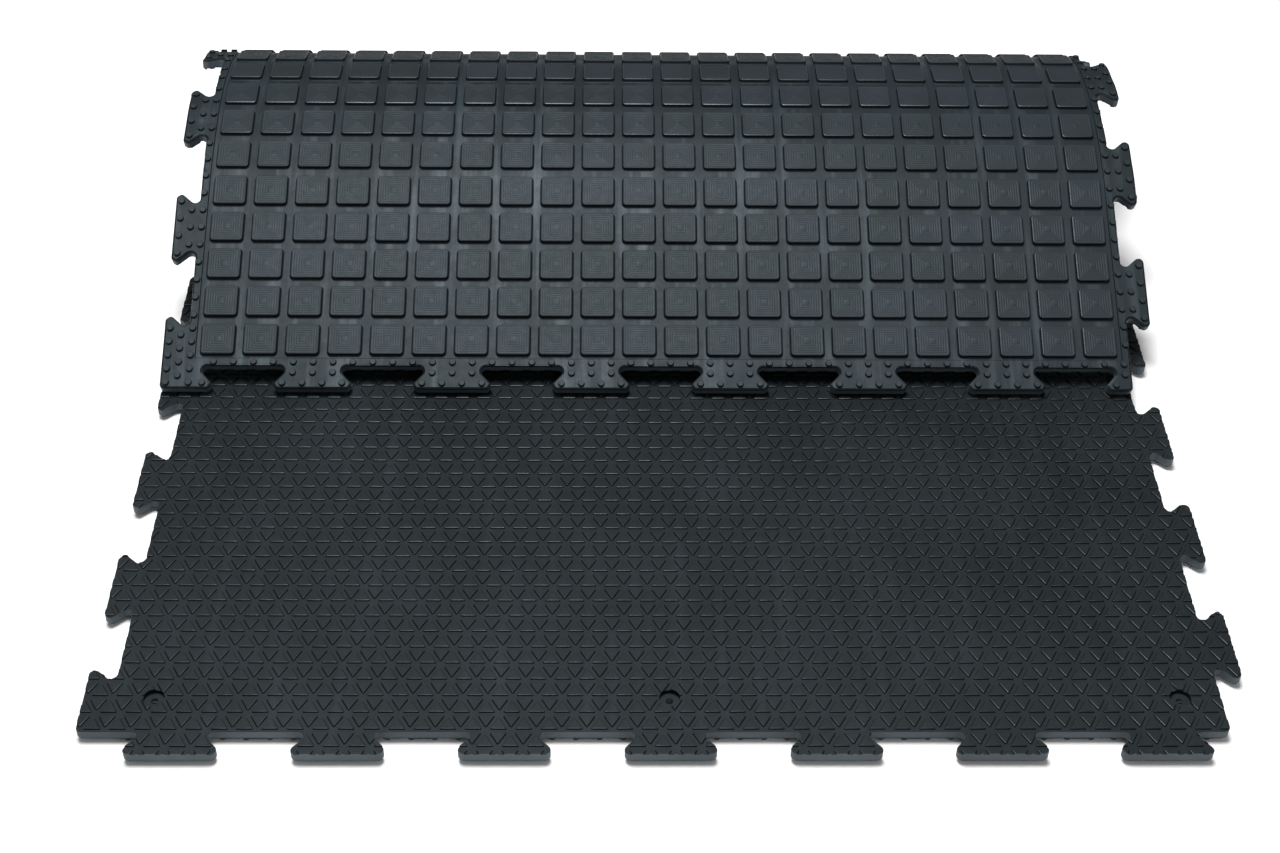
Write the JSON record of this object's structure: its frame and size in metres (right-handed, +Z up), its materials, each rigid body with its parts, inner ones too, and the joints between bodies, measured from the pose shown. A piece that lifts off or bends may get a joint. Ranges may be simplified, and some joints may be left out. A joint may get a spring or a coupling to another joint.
{
  "type": "interlocking rubber floor mat",
  "caption": "Heavy rubber floor mat with dovetail interlocking edges, triangle tread on top and square studs beneath, shown folded over on itself.",
  "frame": {"origin": "middle of the folded mat's footprint, on the floor", "axes": "+X across the mat to the right, +Y from the front tabs to the fold, +Z up"},
  "size_m": [1.2506, 1.1712, 0.2084],
  "materials": {
    "rubber": "matt moulded black rubber, lightly dusty",
    "rubber_edge": "matt moulded black rubber, slightly lighter on the cut edges"
  },
  "bodies": {
    "front": {"front_panel": "rubber", "front_tab_edge": "rubber_edge", "front_left_edge": "rubber_edge", "front_right_edge": "rubber_edge"},
    "slice_1": {"bend_1": "rubber", "bend_1_left_edge": "rubber_edge", "bend_1_right_edge": "rubber_edge"},
    "slice_2": {"bend_2": "rubber", "bend_2_left_edge": "rubber_edge", "bend_2_right_edge": "rubber_edge"},
    "slice_3": {"bend_3": "rubber", "bend_3_left_edge": "rubber_edge", "bend_3_right_edge": "rubber_edge"},
    "slice_4": {"bend_4": "rubber", "bend_4_left_edge": "rubber_edge", "bend_4_right_edge": "rubber_edge"},
    "slice_5": {"bend_5": "rubber", "bend_5_left_edge": "rubber_edge", "bend_5_right_edge": "rubber_edge"},
    "slice_6": {"bend_6": "rubber", "bend_6_left_edge": "rubber_edge", "bend_6_right_edge": "rubber_edge"},
    "slice_7": {"bend_7": "rubber", "bend_7_left_edge": "rubber_edge", "bend_7_right_edge": "rubber_edge"},
    "slice_8": {"bend_8": "rubber", "bend_8_left_edge": "rubber_edge", "bend_8_right_edge": "rubber_edge"},
    "slice_9": {"bend_9": "rubber", "bend_9_left_edge": "rubber_edge", "bend_9_right_edge": "rubber_edge"},
    "rear": {"rear_panel": "rubber", "rear_socket_edge": "rubber_edge", "rear_left_edge": "rubber_edge", "rear_right_edge": "rubber_edge"}
  },
  "joints": [
    {"name": "fold_1", "type": "hinge", "parent": "front", "child": "slice_1", "pos_m": [0, 0.49326, 0.018], "axis": [-1, 0, 0], "range_deg": [0, 24]},
    {"name": "fold_2", "type": "hinge", "parent": "slice_1", "child": "slice_2", "pos_m": [0, 0.54168, 0.03956], "axis": [-1, 0, 0], "range_deg": [0, 35.01]},
    {"name": "fold_3", "type": "hinge", "parent": "slice_2", "child": "slice_3", "pos_m": [0, 0.56897, 0.08499], "axis": [-1, 0, 0], "range_deg": [0, 42.01]},
    {"name": "fold_4", "type": "hinge", "parent": "slice_3", "child": "slice_4", "pos_m": [0, 0.55886, 0.13701], "axis": [-1, 0, 0], "range_deg": [0, 38.01]},
    {"name": "fold_5", "type": "hinge", "parent": "slice_4", "child": "slice_5", "pos_m": [0, 0.51886, 0.17178], "axis": [-1, 0, 0], "range_deg": [0, 25.01]},
    {"name": "fold_6", "type": "hinge", "parent": "slice_5", "child": "slice_6", "pos_m": [0, 0.46791, 0.18639], "axis": [-1, 0, 0], "range_deg": [0, 12.01]},
    {"name": "fold_7", "type": "hinge", "parent": "slice_6", "child": "slice_7", "pos_m": [0, 0.41504, 0.19009], "axis": [-1, 0, 0], "range_deg": [0, 10.01]},
    {"name": "fold_8", "type": "hinge", "parent": "slice_7", "child": "slice_8", "pos_m": [0, 0.36233, 0.18455], "axis": [-1, 0, 0], "range_deg": [0, 8.01]},
    {"name": "fold_9", "type": "hinge", "parent": "slice_8", "child": "slice_9", "pos_m": [0, 0.31091, 0.17173], "axis": [-1, 0, 0], "range_deg": [0, 5.01]},
    {"name": "fold_10", "type": "hinge", "parent": "slice_9", "child": "rear", "pos_m": [0, 0.2608, 0.15447], "axis": [-1, 0, 0], "range_deg": [0, 7.49]}
  ],
  "couplings": [
    {"joint": "fold_2", "follows": "fold_1", "ratio": 1.4583},
    {"joint": "fold_3", "follows": "fold_1", "ratio": 1.75},
    {"joint": "fold_4", "follows": "fold_1", "ratio": 1.5833},
    {"joint": "fold_5", "follows": "fold_1", "ratio": 1.0417},
    {"joint": "fold_6", "follows": "fold_1", "ratio": 0.5},
    {"joint": "fold_7", "follows": "fold_1", "ratio": 0.41667},
    {"joint": "fold_8", "follows": "fold_1", "ratio": 0.33333},
    {"joint": "fold_9", "follows": "fold_1", "ratio": 0.20833},
    {"joint": "fold_10", "follows": "fold_1", "ratio": 0.31158}
  ]
}
